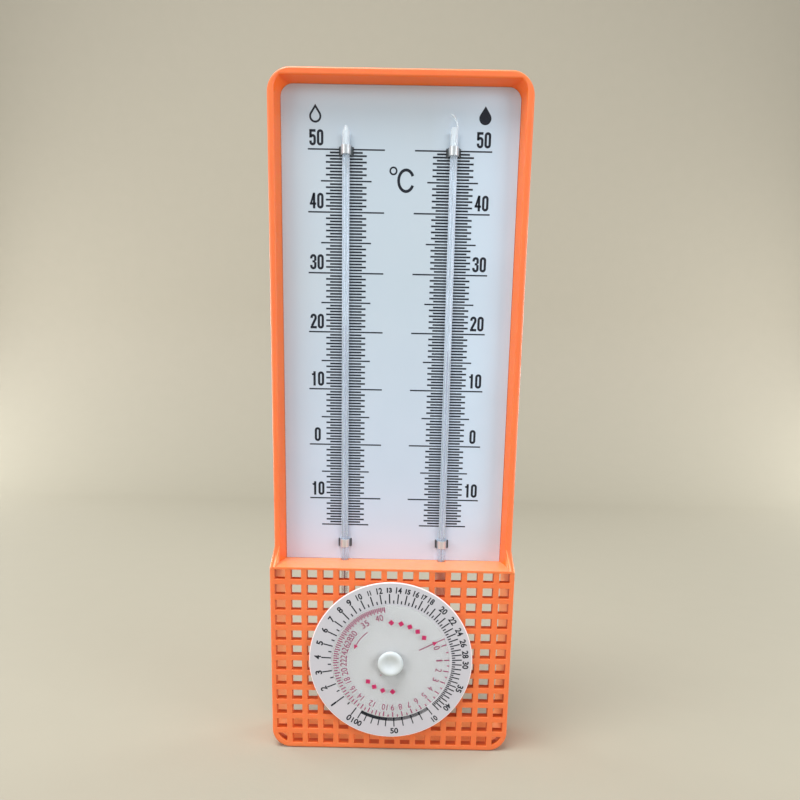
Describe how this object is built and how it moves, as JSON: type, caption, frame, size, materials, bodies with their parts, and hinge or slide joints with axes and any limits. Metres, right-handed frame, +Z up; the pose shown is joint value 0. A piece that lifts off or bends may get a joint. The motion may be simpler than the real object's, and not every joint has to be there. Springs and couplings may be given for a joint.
{
  "type": "wet and dry bulb hygrometer",
  "caption": "Orange plastic wall or table hygrometer with wet and dry bulb thermometers on a white scale plate and a turning humidity dial on a square-hole grille.",
  "frame": {"origin": "centre of the rectangle of the foot, on the surface that the hygrometer stands on", "axes": "+Z up along the thermometers, +X to the viewer's right, +Y to the back, so the grille and dial face -Y"},
  "size_m": [0.1032, 0.0315, 0.2758],
  "materials": {
    "orange_plastic": "satin moulded orange",
    "white_plate": "satin white with printed scales",
    "glass": "clear polished",
    "spirit": "coloured liquid",
    "clip_metal": "bright plated strip",
    "cotton": "woven cotton",
    "milky_plastic": "milky",
    "dial_white": "satin white with printed scales",
    "clear_plastic": "clear sheet",
    "knob_white": "smooth white"
  },
  "bodies": {
    "frame": {"housing": "orange_plastic", "hanging_tab": "orange_plastic", "front_grille": "orange_plastic", "scale_plate": "white_plate", "dry_tube": "glass", "wet_tube": "glass", "dry_spirit": "spirit", "wet_spirit": "spirit", "dry_upper_clip": "clip_metal", "dry_lower_clip": "clip_metal", "wet_upper_clip": "clip_metal", "wet_lower_clip": "clip_metal", "wick": "cotton", "cup_bracket": "orange_plastic", "dial_base": "dial_white", "dial_spacer": "knob_white", "pivot_washer": "clip_metal"},
    "dial": {"dial_disc": "clear_plastic", "dial_knob": "knob_white", "push_nut": "clip_metal"},
    "cup": {"water_cup": "milky_plastic"}
  },
  "joints": [
    {"name": "dial_turn", "type": "hinge", "parent": "frame", "child": "dial", "pos_m": [0, -0.012, 0.0418], "axis": [0, 1, 0], "continuous": true},
    {"name": "cup_slide", "type": "slide", "parent": "frame", "child": "cup", "axis": [0, 0, -1], "range_m": [0, 0.014]}
  ]
}
